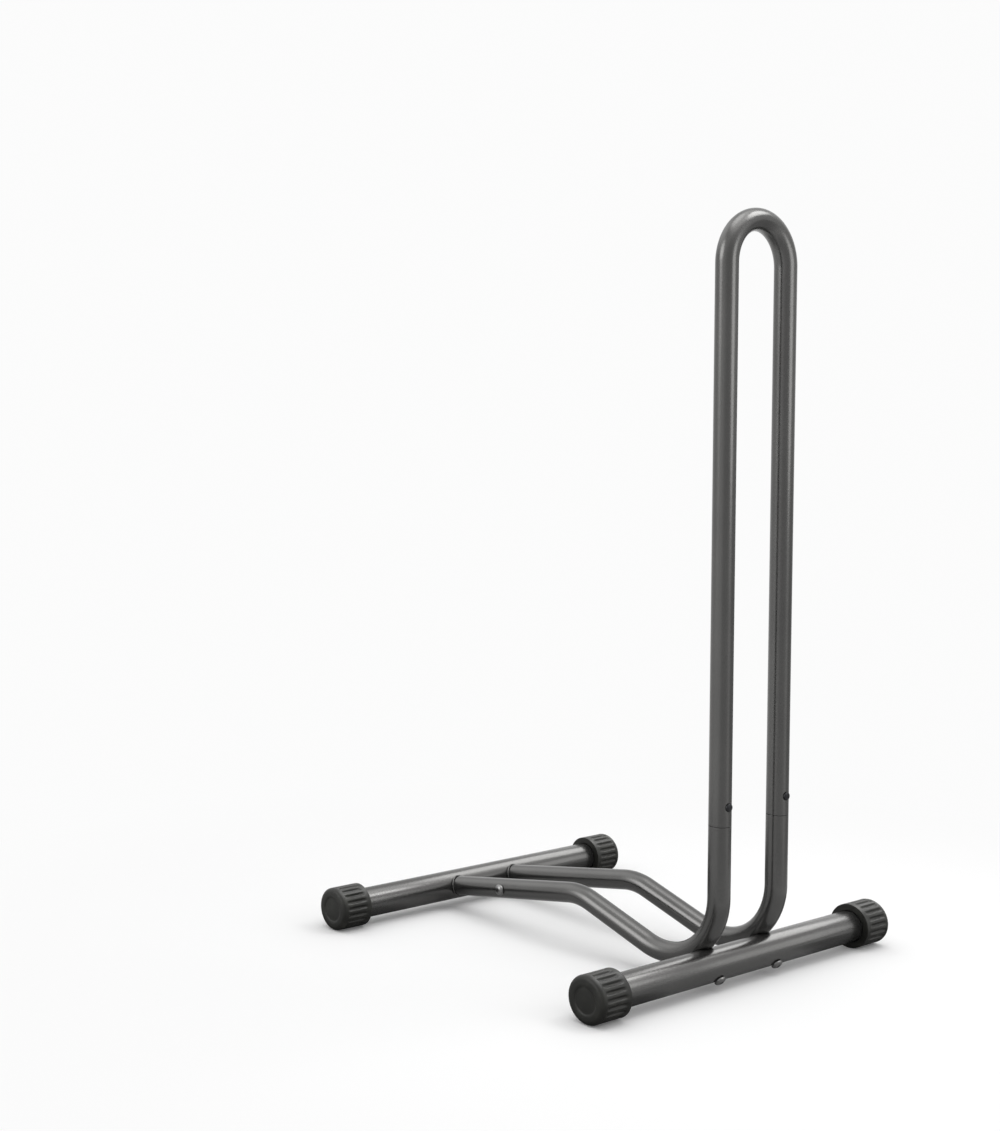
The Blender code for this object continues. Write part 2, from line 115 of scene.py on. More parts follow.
def make_camera():
    back = Vector((
        math.sin(CAMERA_AZIMUTH) * math.cos(CAMERA_ELEVATION),
        -math.cos(CAMERA_AZIMUTH) * math.cos(CAMERA_ELEVATION),
        math.sin(CAMERA_ELEVATION),
    ))
    level = Vector((0, 0, 1)).cross(back).normalized()
    right = Matrix.Rotation(CAMERA_ROLL, 3, back) @ level
    up = back.cross(right)
    data = bpy.data.cameras.new("camera")
    data.sensor_fit = "VERTICAL"
    data.sensor_height = SENSOR_HEIGHT_MM
    data.sensor_width = SENSOR_HEIGHT_MM * PICTURE_WIDTH / PICTURE_HEIGHT
    data.lens = FOCAL_LENGTH_PX / PICTURE_HEIGHT * SENSOR_HEIGHT_MM
    data.shift_x = (PICTURE_WIDTH / 2 - OPTICAL_CENTRE_PX[0]) / PICTURE_HEIGHT
    data.shift_y = (OPTICAL_CENTRE_PX[1] - PICTURE_HEIGHT / 2) / PICTURE_HEIGHT
    camera = bpy.data.objects.new("camera", data)
    bpy.context.scene.collection.objects.link(camera)
    place = CAMERA_FROM_REAR_AXIS + Vector((REAR_AXIS.x, 0, 0))
    turn = Matrix((right, up, back)).transposed().to_4x4()
    camera.matrix_world = Matrix.Translation(place) @ turn
    bpy.context.scene.camera = camera
    return camera


camera = make_camera()
print("lens %.1f mm, shift %.3f, %.3f" % (camera.data.lens, camera.data.shift_x, camera.data.shift_y))


# %% [markdown]
# ## Writing materials as sums
#
# A procedural finish is arithmetic on patterns: some noise times an amount, plus a base value.
# Wired by hand that takes many nodes, so a small class wraps one socket, and the signs +, -, *
# and / on it add the Math nodes. Colours go through Mix nodes, because a Math node turns grey.

# %% A wrapped socket and a finish
class Value:
    """One output in a node tree, which can be used in sums."""

    def __init__(self, sums, socket):
        self.sums = sums
        self.socket = socket

    def maths(self, operation, first, second):
        return self.sums.node("ShaderNodeMath", {"operation": operation}, {0: first, 1: second})

    def __add__(self, other):
        return self.maths("ADD", self, other)

    __radd__ = __add__

    def __rsub__(self, other):
        return self.maths("SUBTRACT", other, self)

    def __mul__(self, other):
        return self.maths("MULTIPLY", self, other)

    def __truediv__(self, other):
        return self.maths("DIVIDE", self, other)

    def between(self, low, high):
        """0 where the value is at low or less, 1 where it is at high or more, smooth in between."""
        settings = {"interpolation_type": "SMOOTHSTEP"}
        sockets = {"Value": self, "From Min": low, "From Max": high}
        return self.sums.node("ShaderNodeMapRange", settings, sockets)


class Sums:
    """A node tree that is built up from values."""

    def __init__(self, tree, place):
        self.tree = tree
        self.place = self.node("ShaderNodeTexCoord", {}, {}, place)

    def connect(self, socket, value):
        if isinstance(value, Value):
            self.tree.links.new(value.socket, socket)
        else:
            socket.default_value = value

    def node(self, kind, settings, sockets, output=0):
        """Adds a node, makes its settings, fills its sockets and returns one of its outputs."""
        node = self.tree.nodes.new(kind)
        for name, setting in settings.items():
            setattr(node, name, setting)
        for name, value in sockets.items():
            self.connect(node.inputs[name], value)
        return Value(self, node.outputs[output])

    def noise(self, scale, detail=2.0, place=None):
        sockets = {"Vector": place or self.place, "Scale": scale, "Detail": detail, "Roughness": 0.5}
        return self.node("ShaderNodeTexNoise", {}, sockets)

    def cells(self, scale):
        """A value for each of many small random cells."""
        sockets = {"Vector": self.place, "Scale": scale}
        colour = self.node("ShaderNodeTexVoronoi", {"feature": "F1"}, sockets, "Color")
        return self.node("ShaderNodeSeparateColor", {}, {"Color": colour}, "Red")

    def along(self, direction):
        """How far a point lies along a direction."""
        settings = {"operation": "DOT_PRODUCT"}
        return self.node("ShaderNodeVectorMath", settings, {0: self.place, 1: direction}, "Value")

    def mix(self, factor, first, second):
        """A colour between two colours."""
        node = self.tree.nodes.new("ShaderNodeMix")
        node.data_type = "RGBA"
        colour_inputs = [socket for socket in node.inputs if socket.type == "RGBA"]
        self.connect(node.inputs["Factor"], factor)
        self.connect(colour_inputs[0], first)
        self.connect(colour_inputs[1], second)
        colour_output = next(socket for socket in node.outputs if socket.type == "RGBA")
        return Value(self, colour_output)


class Finish(Sums):
    """A material whose Principled shader is fed by values."""

    def __init__(self, name):
        self.material = bpy.data.materials.new(name)
        self.material.use_nodes = True
        super().__init__(self.material.node_tree, "Object")
        self.shader = self.tree.nodes["Principled BSDF"]

    def bump(self, height, distance):
        """Raises the surface by a height between 0 and 1, times a distance."""
        sockets = {"Height": height, "Distance": distance, "Strength": 1.0}
        self.connect(self.shader.inputs["Normal"], self.node("ShaderNodeBump", {}, sockets))

    def set(self, **values):
        """Feeds the shader's sockets; a socket's name is written with underscores."""
        for name, value in values.items():
            self.connect(self.shader.inputs[name.replace("_", " ").title()], value)


def grey(level, tint=(1.0, 1.0, 1.0)):
    return (level * tint[0], level * tint[1], level * tint[2], 1.0)


print("finishes are written as sums of patterns")


# %% [markdown]
# ## The gunmetal coat
#
# All the tubes wear one baked coat: dark grey with fine metal flake in it, satin, and very
# slightly pebbled as such a coat is when it flows and cures. The flake is a field of tiny cells,
# each a little lighter or darker. The pebble is a soft noise a few millimetres across, and it is
# kept low, because the long highlights on the real tubes are nearly straight.

# %% Gunmetal coat
def make_gunmetal_coat():
    coat = Finish("gunmetal_coat")
    flake = coat.cells(2600.0)
    cloud = coat.noise(14.0, detail=3.0)
    pebble = coat.noise(420.0, detail=1.0)
    fine_pebble = coat.noise(1500.0, detail=1.0)
    level = (flake * 0.30 + cloud * 0.25).between(0.0, 0.55)
    coat.set(base_color=coat.mix(level, grey(0.092, (1.0, 0.99, 0.975)), grey(0.138, (1.0, 0.99, 0.965))))
    coat.set(metallic=0.90)
    coat.set(roughness=0.19 + cloud * 0.06 + fine_pebble * 0.05)
    coat.bump(pebble * 0.7 + fine_pebble * 0.3, 0.00006)
    return coat.material


GUNMETAL_COAT = make_gunmetal_coat()
print("made", GUNMETAL_COAT.name)


# %% [markdown]
# ## Black caps, steel bolts and springs
#
# The end caps are moulded in black soft plastic: nearly matt, a little uneven in gloss, and paler
# in patches, where dust lies on them. Bolts and nuts are grey zinc with a faint brushed sheen, the
# snap buttons are blackened steel, and the leaf springs are bare steel.

# %% Cap, bolt, button and spring finishes
def make_cap_black():
    cap = Finish("cap_black")
    grain = cap.noise(1900.0, detail=2.0)
    patch = cap.noise(60.0, detail=3.0)
    dust = patch.between(0.45, 0.75)
    cap.set(base_color=cap.mix(dust, grey(0.011, (1.0, 1.01, 0.84)), grey(0.020, (1.0, 1.01, 0.84))))
    cap.set(roughness=0.36 + patch * 0.10 + grain * 0.06)
    cap.shader.inputs["Specular IOR Level"].default_value = 0.33
    cap.bump(grain, 0.00008)
    return cap.material


def make_zinc():
    zinc = Finish("zinc")
    grain = zinc.noise(900.0, detail=3.0)
    cloud = zinc.noise(260.0, detail=2.0)
    zinc.set(base_color=zinc.mix(cloud, grey(0.16, (1.0, 1.0, 1.02)), grey(0.26, (1.0, 0.99, 0.96))))
    zinc.set(metallic=1.0, roughness=0.20 + grain * 0.14)
    zinc.bump(grain, 0.00002)
    return zinc.material


def make_black_steel():
    steel = Finish("black_steel")
    grain = steel.noise(1400.0, detail=3.0)
    worn = steel.noise(500.0, detail=2.0).between(0.58, 0.72)
    steel.set(base_color=steel.mix(worn * 0.3, grey(0.018, (0.95, 0.97, 1.1)), grey(0.09)))
    steel.set(metallic=0.6, roughness=0.28 + grain * 0.15)
    steel.bump(grain, 0.00002)
    return steel.material


def make_spring_steel():
    steel = Finish("spring_steel")
    stretched = steel.node("ShaderNodeMapping", {}, {"Vector": steel.place, "Scale": (1.0, 1.0, 0.04)})
    brushed = steel.noise(3000.0, detail=2.0, place=stretched)
    steel.set(base_color=steel.mix(brushed, grey(0.30), grey(0.42, (1.0, 0.99, 0.96))))
    steel.set(metallic=1.0, roughness=0.25 + brushed * 0.15)
    return steel.material


CAP_BLACK = make_cap_black()
ZINC = make_zinc()
BLACK_STEEL = make_black_steel()
SPRING_STEEL = make_spring_steel()
print("made", CAP_BLACK.name, ZINC.name, BLACK_STEEL.name, SPRING_STEEL.name)


# %% [markdown]
# ## Modelling by hand, in code
#
# The tubes are drawn as a tube bender makes them. A circle is the cut end of the tube, extrude
# pushes it along a straight run, and spin carries it round a bend. What has just been made stays
# selected, so the next push or bend goes on from there. Spin turns clockwise round its axis.

# %% Edit mode helpers
TUBE_SIDES = 72
SMOOTH_ANGLE = math.radians(32)
SHARP_ANGLE = math.radians(40)
MERGE_DISTANCE = 1e-6  # points nearer to each other than this are made one


def start_tube(name, place, direction, radius, sides=TUBE_SIDES):
    """Adds a circle square to a direction and opens it in edit mode."""
    bpy.ops.object.select_all(action="DESELECT")
    turn = Vector((0, 0, 1)).rotation_difference(Vector(direction)).to_euler()
    bpy.ops.mesh.primitive_circle_add(vertices=sides, radius=radius, location=place, rotation=turn)
    tube = bpy.context.object
    tube.name = name
    tube.data.name = name
    bpy.ops.object.transform_apply(location=True, rotation=True, scale=True)
    bpy.ops.object.mode_set(mode="EDIT")
    bpy.ops.mesh.select_all(action="SELECT")
    return tube


def push(offset):
    bpy.ops.mesh.extrude_region_move(TRANSFORM_OT_translate={"value": offset})


def bend(centre, axis, angle, steps):
    bpy.ops.mesh.spin(steps=steps, angle=angle, center=centre, axis=axis)


def squeeze(factor, centre):
    """Scales what is selected about a point, the same in every direction."""
    bpy.ops.transform.resize(value=(factor, factor, factor), center_override=centre)


def close_edit():
    """Turns every face outwards and leaves edit mode."""
    bpy.ops.mesh.select_all(action="SELECT")
    bpy.ops.mesh.remove_doubles(threshold=MERGE_DISTANCE)
    bpy.ops.mesh.normals_make_consistent(inside=False)
    bpy.ops.object.mode_set(mode="OBJECT")


def apply_modifier(piece, kind, **settings):
    """Adds one modifier to a piece and applies it."""
    bpy.ops.object.select_all(action="DESELECT")
    piece.select_set(True)
    bpy.context.view_layer.objects.active = piece
    modifier = piece.modifiers.new(kind.lower(), kind)
    for name, setting in settings.items():
        setattr(modifier, name, setting)
    bpy.ops.object.modifier_apply(modifier=modifier.name)


def remove(thing):
    bpy.data.objects.remove(thing, do_unlink=True)


def thicken(piece, wall):
    """Gives a skin its wall, on the inside."""
    apply_modifier(piece, "SOLIDIFY", thickness=wall, offset=-1.0, use_even_offset=True)


def add_rod(radius, length, place, direction, sides=48):
    """A plain round rod that only serves as a tool, for cutting or pressing."""
    bpy.ops.object.select_all(action="DESELECT")
    turn = Vector((0, 0, 1)).rotation_difference(Vector(direction)).to_euler()
    bpy.ops.mesh.primitive_cylinder_add(
        vertices=sides, radius=radius, depth=length, location=place, rotation=turn)
    return bpy.context.object


def drill(piece, radius, length, place, direction):
    """Cuts a round hole with a rod and throws the rod away."""
    rod = add_rod(radius, length, place, direction)
    apply_modifier(piece, "BOOLEAN", operation="DIFFERENCE", solver="EXACT", object=rod)
    remove(rod)


def round_edges(piece, width):
    """Bevels the sharp edges of a piece."""
    apply_modifier(piece, "BEVEL", width=width, segments=2, limit_method="ANGLE", angle_limit=SHARP_ANGLE)


def finish_piece(piece, material, slot, *nodes):
    """Smooth shading, a finish, and the sub-parts that the piece stands for."""
    bpy.ops.object.select_all(action="DESELECT")
    piece.select_set(True)
    bpy.context.view_layer.objects.active = piece
    bpy.ops.object.shade_smooth_by_angle(angle=SMOOTH_ANGLE)
    piece.data.materials.clear()
    piece.data.materials.append(material)
    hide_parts(*nodes)
    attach(piece, BODY_OF_NODE[nodes[0]])
    faces = sum(len(face.vertices) - 2 for face in piece.data.polygons)
    print(piece.name, "has", faces, "triangles")


BODIES = frame["record"]["behaviour"]["bodies"]
BODY_OF_NODE = {node: body for body, nodes in BODIES.items() for node in nodes}
print("ready to model", len(BODY_OF_NODE), "sub-parts")


# %% [markdown]
# ## The hoop
#
# One length of tube, bent once through a half turn, with a hole near the foot of each leg for a
# snap button. It is pushed up one leg, spun over the top and pushed down the other. Short steps
# next to the holes and the cut ends keep the long faces of the legs evenly shaded.

# %% Hoop
HOOP_BEND_STEPS = 56
BUTTON_RADIUS = 0.0047
BUTTON_HEIGHT = middle("snap_button_left").z
HOLE_MARGIN = 0.0015  # from the rim of a hole to where a long face is divided
END_STEP = 0.0010  # the same, from a cut end
EDGE_ROUNDING = 0.00025


def make_hoop():
    bend_height = HOOP_TOP - TUBE_RADIUS - LEG_Y
    hole_bottom = BUTTON_HEIGHT - BUTTON_RADIUS - GAP - HOLE_MARGIN
    hole_top = BUTTON_HEIGHT + BUTTON_RADIUS + GAP + HOLE_MARGIN
    heights = (JOINT_HEIGHT, JOINT_HEIGHT + END_STEP, hole_bottom, hole_top, bend_height)
    hoop = start_tube("hoop", (LEG_X, -LEG_Y, JOINT_HEIGHT), (0, 0, 1), TUBE_RADIUS)
    for before, after in zip(heights, heights[1:]):
        push((0, 0, after - before))
    bend((LEG_X, 0, bend_height), (1, 0, 0), math.pi, HOOP_BEND_STEPS)
    for before, after in zip(heights[::-1], heights[-2::-1]):
        push((0, 0, after - before))
    close_edit()
    thicken(hoop, TUBE_WALL)
    for sign in SIDES.values():
        place = (LEG_X + TUBE_RADIUS, sign * LEG_Y, BUTTON_HEIGHT)
        drill(hoop, BUTTON_RADIUS + GAP, TUBE_RADIUS, place, (1, 0, 0))
    round_edges(hoop, EDGE_ROUNDING)
    finish_piece(hoop, GUNMETAL_COAT, "gunmetal_coat", "upright_hoop")


make_hoop()


# %% [markdown]
# ## The rails
#
# Each rail starts on a stub behind the rear cross tube, rises gently, turns down a ramp, and is
# bent up into the leg. A bender squashes the tube a little in that last bend. Where the rail
# crosses the front cross tube it is pressed in to a saddle: a rod of the cross tube's size is the
# press tool, and Shrinkwrap moves the skin that lies inside the rod out to the rod's surface. The
# upper end is drawn in to a plug for the hoop's leg, so that the joint shows as a hairline.

# %% Rails
PEAK_REACH = 0.2415  # the hump's corner, from the rear cross tube's axis
PEAK_HEIGHT = 0.0674
RAMP_ANGLE = math.radians(18.1)
PEAK_BEND_RADIUS = 0.080
PEAK_BEND_STEPS = 16
LOWER_BEND_RADIUS = 0.080
LOWER_BEND_STEPS = 72
LOWER_BEND_TURN = math.pi / 2 + RAMP_ANGLE
BEND_FLATTENING = 0.06
NECK_LENGTH = 0.0002  # the step between the rail and its plug, which the end of the hoop nearly hides
PLUG_RADIUS = TUBE_RADIUS - TUBE_WALL - GAP
WELD_RADIUS = 0.0012
RAIL_START = CROSS_RADIUS + 2 * GAP + 2 * WELD_RADIUS
RAIL_BOLT_REACH = 0.113
BOLT_RADIUS = 0.0040

PEAK = Vector((REAR_AXIS.x + PEAK_REACH, 0, PEAK_HEIGHT))
RAIL_DIRECTION = (PEAK - REAR_AXIS).normalized()
RAMP_DIRECTION = Vector((math.cos(RAMP_ANGLE), 0, -math.sin(RAMP_ANGLE)))
LOWER_CORNER = PEAK + RAMP_DIRECTION * (LEG_X - PEAK.x) / math.cos(RAMP_ANGLE)
LOWER_BEND_CENTRE = LOWER_CORNER + Vector((
    -LOWER_BEND_RADIUS, 0, LOWER_BEND_RADIUS * math.tan(LOWER_BEND_TURN / 2)))
SADDLE_OUTLINE = Vector((LOWER_BEND_CENTRE.x, 0, LOWER_BEND_CENTRE.z)) - FRONT_AXIS
SADDLE_FORM_SIDES = 160
SADDLE_BOLT_TURN = math.radians(6.0)
SADDLE_BOLT_ANGLE = math.atan2(SADDLE_OUTLINE.z, SADDLE_OUTLINE.x) + SADDLE_BOLT_TURN
SADDLE_BOLT_DIRECTION = Vector((math.cos(SADDLE_BOLT_ANGLE), 0, math.sin(SADDLE_BOLT_ANGLE)))
SADDLE_DRILL_REACH = CROSS_RADIUS + TUBE_WALL + 0.002  # just through the wall of the saddle


def flatten_bend(rail):
    """Squashes the lower bend across the tube, most of all in its middle."""
    for vertex in rail.data.vertices:
        out = Vector((vertex.co.x - LOWER_BEND_CENTRE.x, 0, vertex.co.z - LOWER_BEND_CENTRE.z))
        turned = math.atan2(out.x, -out.z) + RAMP_ANGLE
        if 0 < turned < LOWER_BEND_TURN and vertex.co.x > PEAK.x + LOWER_BEND_RADIUS / 2:
            share = BEND_FLATTENING * math.sin(math.pi * turned / LOWER_BEND_TURN) ** 2
            change = (out.length - LOWER_BEND_RADIUS) * share
            vertex.co -= out.normalized() * change


def make_rail(side, sign):
    """Draws the rail up to the shoulder under the hoop, and leaves it open in edit mode."""
    across = Vector((0, sign * LEG_Y, 0))
    start = REAR_AXIS + across + RAIL_DIRECTION * RAIL_START
    peak_turn = RAIL_DIRECTION.angle(RAMP_DIRECTION)
    peak_tangent = PEAK_BEND_RADIUS * math.tan(peak_turn / 2)
    rise_normal = Vector((-RAIL_DIRECTION.z, 0, RAIL_DIRECTION.x))
    bend_start = PEAK + across - RAIL_DIRECTION * peak_tangent
    bolt_place = REAR_AXIS + across + RAIL_DIRECTION * RAIL_BOLT_REACH
    hole_half = BOLT_RADIUS + GAP + HOLE_MARGIN

    rail = start_tube("bent_rail_" + side, start, RAIL_DIRECTION, TUBE_RADIUS)
    push(RAIL_DIRECTION * END_STEP)
    push(bolt_place - RAIL_DIRECTION * (hole_half + END_STEP) - start)
    push(RAIL_DIRECTION * 2 * hole_half)
    push(bend_start - bolt_place - RAIL_DIRECTION * hole_half)
    bend(bend_start - rise_normal * PEAK_BEND_RADIUS, (0, -1, 0), peak_turn, PEAK_BEND_STEPS)
    ramp_start = PEAK + across + RAMP_DIRECTION * peak_tangent
    ramp_end = LOWER_CORNER + across - RAMP_DIRECTION * LOWER_BEND_RADIUS * math.tan(LOWER_BEND_TURN / 2)
    push(ramp_end - ramp_start)
    bend(LOWER_BEND_CENTRE + across, (0, 1, 0), LOWER_BEND_TURN, LOWER_BEND_STEPS)
    shoulder = JOINT_HEIGHT - GAP - NECK_LENGTH
    push((0, 0, shoulder - END_STEP - LOWER_BEND_CENTRE.z))
    push((0, 0, END_STEP))
    return rail, shoulder


def press_saddle(rail, sign):
    """Pushes the skin out of the space that the front cross tube takes."""
    place = FRONT_AXIS + Vector((0, sign * LEG_Y, 0))
    form = add_rod(CROSS_RADIUS + GAP, 6 * TUBE_RADIUS, place, (0, 1, 0), SADDLE_FORM_SIDES)
    apply_modifier(
        rail, "SHRINKWRAP", target=form, wrap_method="NEAREST_SURFACEPOINT", wrap_mode="OUTSIDE")
    remove(form)


def finish_rail(rail, shoulder, side, sign):
    """Adds the plug, presses the saddle and cuts the holes."""
    across = Vector((0, sign * LEG_Y, 0))
    leg = Vector((LEG_X, across.y, 0))
    push((0, 0, NECK_LENGTH))
    squeeze(PLUG_RADIUS / TUBE_RADIUS, leg + Vector((0, 0, shoulder + NECK_LENGTH)))
    hole_half = BUTTON_RADIUS + GAP + HOLE_MARGIN
    plug_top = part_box("rail_" + side)[1].z
    push((0, 0, BUTTON_HEIGHT - hole_half - shoulder - NECK_LENGTH))
    push((0, 0, 2 * hole_half))
    push((0, 0, plug_top - BUTTON_HEIGHT - hole_half))
    close_edit()
    flatten_bend(rail)
    press_saddle(rail, sign)
    thicken(rail, TUBE_WALL)
    button = (LEG_X + TUBE_RADIUS, across.y, BUTTON_HEIGHT)
    drill(rail, BUTTON_RADIUS + GAP, TUBE_RADIUS, button, (1, 0, 0))
    bolt = REAR_AXIS + across + RAIL_DIRECTION * RAIL_BOLT_REACH + Vector((0, sign * TUBE_RADIUS, 0))
    drill(rail, BOLT_RADIUS + GAP, TUBE_RADIUS, bolt, (0, 1, 0))
    saddle = FRONT_AXIS + across
    drill(rail, BOLT_RADIUS + GAP, 2 * SADDLE_DRILL_REACH, saddle, SADDLE_BOLT_DIRECTION)
    round_edges(rail, EDGE_ROUNDING)
    finish_piece(rail, GUNMETAL_COAT, "gunmetal_coat", "rail_" + side)


for side, sign in SIDES.items():
    rail, shoulder = make_rail(side, sign)
    finish_rail(rail, shoulder, side, sign)


# %% [markdown]
# ## The cross tubes
#
# Two straight lengths of 38.1 mm tube lie across the floor. The front one has a hole through both
# of its walls at each rail, for the bolt that pulls the rail's saddle down. Short steps next to
# the holes keep the cuts out of the long faces, whose shading they would spoil.

# %% Cross tubes
CROSS_SIDES = 96
HOLE_CLEARANCE = 0.006  # from a hole's middle to where a long face is divided


def make_cross_tube(node, axis):
    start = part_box(node)[0].y
    name = node.replace("cross_tube", "tube")
    tube = start_tube(name, (axis.x, start, axis.z), (0, 1, 0), CROSS_RADIUS, CROSS_SIDES)
    stops = [sign * LEG_Y + step for sign in (-1, 1) for step in (-HOLE_CLEARANCE, HOLE_CLEARANCE)]
    for before, after in zip([start] + stops, stops + [-start]):
        push((0, after - before, 0))
    close_edit()
    thicken(tube, CROSS_WALL)
    return tube


front_tube = make_cross_tube("front_cross_tube", FRONT_AXIS)
rear_tube = make_cross_tube("rear_cross_tube", REAR_AXIS)
for side, sign in SIDES.items():
    drill(front_tube, BOLT_RADIUS + GAP, 3 * CROSS_RADIUS, FRONT_AXIS + Vector((0, sign * LEG_Y, 0)),
          SADDLE_BOLT_DIRECTION)
for tube, node in ((front_tube, "front_cross_tube"), (rear_tube, "rear_cross_tube")):
    round_edges(tube, EDGE_ROUNDING)
    finish_piece(tube, GUNMETAL_COAT, "gunmetal_coat", node)


# %% [markdown]
# ## Stubs and welds
#
# A short stub is welded to the rear cross tube behind each rail, and the rail slips over it. The
# stub's end is coped, which means hollowed to fit round the cross tube: a boolean with a rod of
# the tube's size does that. The weld starts as a torus round the stub. Each of its rings slides
# along the stub to where the two tubes meet, and swells and narrows with the welder's steps.

# %% Stubs and weld beads
STUB_RADIUS = TUBE_RADIUS - TUBE_WALL - GAP
STUB_WALL = 0.0015
STUB_REACH = 0.135
WELD_STEPS = 38
WELD_RIPPLE = 0.12  # share of the bead's radius
RINGS_PER_STEP = 6
WELD_SIDES = 18


def make_stub(side, sign):
    root = REAR_AXIS + Vector((0, sign * LEG_Y, 0))
    start = root + RAIL_DIRECTION * CROSS_RADIUS / 2
    stub = start_tube("rail_stub_" + side, start, RAIL_DIRECTION, STUB_RADIUS)
    hole_half = BOLT_RADIUS + GAP + HOLE_MARGIN
    stops = (CROSS_RADIUS / 2, RAIL_BOLT_REACH - hole_half, RAIL_BOLT_REACH + hole_half, STUB_REACH)
    for before, after in zip(stops, stops[1:]):
        push(RAIL_DIRECTION * (after - before))
    close_edit()
    thicken(stub, STUB_WALL)
    drill(stub, CROSS_RADIUS + GAP, 4 * STUB_RADIUS, root, (0, 1, 0))
    bolt = root + RAIL_DIRECTION * RAIL_BOLT_REACH + Vector((0, sign * TUBE_RADIUS, 0))
    drill(stub, BOLT_RADIUS + GAP, TUBE_RADIUS, bolt, (0, 1, 0))
    round_edges(stub, EDGE_ROUNDING)
    finish_piece(stub, GUNMETAL_COAT, "gunmetal_coat", "stub_" + side)


def make_weld(side, sign):
    root = REAR_AXIS + Vector((0, sign * LEG_Y, 0))
    bpy.ops.object.select_all(action="DESELECT")
    turn = Vector((0, 0, 1)).rotation_difference(RAIL_DIRECTION).to_euler()
    ring_radius = STUB_RADIUS + GAP + WELD_RADIUS
    bpy.ops.mesh.primitive_torus_add(
        major_segments=RINGS_PER_STEP * WELD_STEPS, minor_segments=WELD_SIDES,
        major_radius=ring_radius, minor_radius=WELD_RADIUS, location=root, rotation=turn)
    bead = bpy.context.object
    bead.name = "weld_bead_" + side
    bpy.ops.object.transform_apply(location=True, rotation=True, scale=True)
    cross_way = CROSS_RADIUS + GAP + WELD_RADIUS
    for vertex in bead.data.vertices:
        offset = vertex.co - root
        along = offset.dot(RAIL_DIRECTION)
        out = offset - RAIL_DIRECTION * along
        out_direction = out.normalized()
        upright = out_direction.cross(RAIL_DIRECTION).y
        rise = math.sqrt(cross_way ** 2 - (ring_radius * upright) ** 2)
        turned = math.atan2(out_direction.y, upright)
        swell = 1 - WELD_RIPPLE * abs(math.sin(turned * WELD_STEPS / 2))
        around = (out - out_direction * ring_radius) * swell + RAIL_DIRECTION * along * swell
        vertex.co = root + out_direction * ring_radius + RAIL_DIRECTION * rise + around
    finish_piece(bead, GUNMETAL_COAT, "gunmetal_coat", "weld_" + side)


for side, sign in SIDES.items():
    make_stub(side, sign)
    make_weld(side, sign)


# %% [markdown]
# ## The end caps
#
# Four identical caps of black soft plastic close the cross tubes and carry the stand. Each has a
# slightly dished end, a well rounded edge, a ring of soft ribs, and a plain rim round its mouth.
# One cap is modelled and the other three are copies of it. It starts as a cylinder with seven
# faces to a rib and its groove. Its mouth is inset and pushed in, its end is dished, and cuts
# across it mark where the grooves start and end. Then the three middle lines of every groove are
# drawn in towards the axis, the corner of the end is bevelled, and Subdivision Surface rounds ribs
# and grooves as a mould does.

# %% Cap
RIB_COUNT = 20
FACES_PER_RIB = 7
CAP_SIDES = RIB_COUNT * FACES_PER_RIB
CAP_LENGTH = 0.044
CAP_END_WALL = 0.004
CAP_EDGE_RADIUS = 0.0050
GROOVE_START = 0.0072
GROOVE_END = 0.0370
GROOVE_RUN_OUT = 0.0022
GROOVE_PULL = 0.0022
DISH_RADIUS = 0.0165
DISH_DEPTH = 0.0010
DISH_SLOPE = 0.0016
MOUTH_ROUNDING = 0.0008
CAP_RADIUS = FRONT_AXIS.z  # the lowest rib lies on the floor
CAP_BORE_SHARE = 0.85  # of the cap's radius: faces nearer to the axis belong to its bore
CAP_SIDE_SHARE = 0.9  # of the cap's radius: points further out belong to its side
CAP_EDGE_SHARE = 0.98  # of the edge's radius, which keeps the bevel clear of the first cut
CAP_EDGE_STEPS = 4
SQUARE_ON = 0.9  # a face whose normal reaches further than this along the axis is square to it
LINES_DRAWN_IN = 1.3  # lines of a groove that are nearer to its middle than this many faces
CLOSE = 1e-5  # points nearer than this to a place count as being at it
STAND_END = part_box("end_cap_front_right")[0].y
GROOVE_MIDDLE = (GROOVE_START + GROOVE_END) / 2
CUTS = (
    # from the cap's end, where its side is divided
    CAP_EDGE_RADIUS, GROOVE_START, GROOVE_START + GROOVE_RUN_OUT, GROOVE_MIDDLE,
    GROOVE_END - GROOVE_RUN_OUT, GROOVE_END, CAP_LENGTH - MOUTH_ROUNDING,
)


def pick(piece, kind, test):
    """Selects only those faces, edges or vertices of a piece in edit mode that pass a test."""
    bpy.ops.mesh.select_all(action="DESELECT")
    mesh = bmesh.from_edit_mesh(piece.data)
    chosen = 0
    for element in getattr(mesh, kind):
        if test(element):
            element.select_set(True)
            chosen += 1
    mesh.select_flush_mode()
    bmesh.update_edit_mesh(piece.data)
    return chosen


def scale_across(factor, centre):
    """Scales what is selected towards the cap's axis, which runs along Y."""
    bpy.ops.transform.resize(value=(factor, 1, factor), center_override=centre)


def cut_across(piece, y):
    """Divides the cap's side with a plane square to its axis, outside its bore."""
    bore_reach = CAP_RADIUS * CAP_BORE_SHARE
    pick(piece, "faces", lambda face: abs(face.normal.y) < 0.5 and radius_of(face) > bore_reach)
    bpy.ops.mesh.bisect(plane_co=(0, y, 0), plane_no=(0, 1, 0))


def radius_of(face):
    """How far a face's middle is from the cap's axis."""
    centre = face.calc_center_median()
    return math.hypot(centre.x - FRONT_AXIS.x, centre.z - FRONT_AXIS.z)


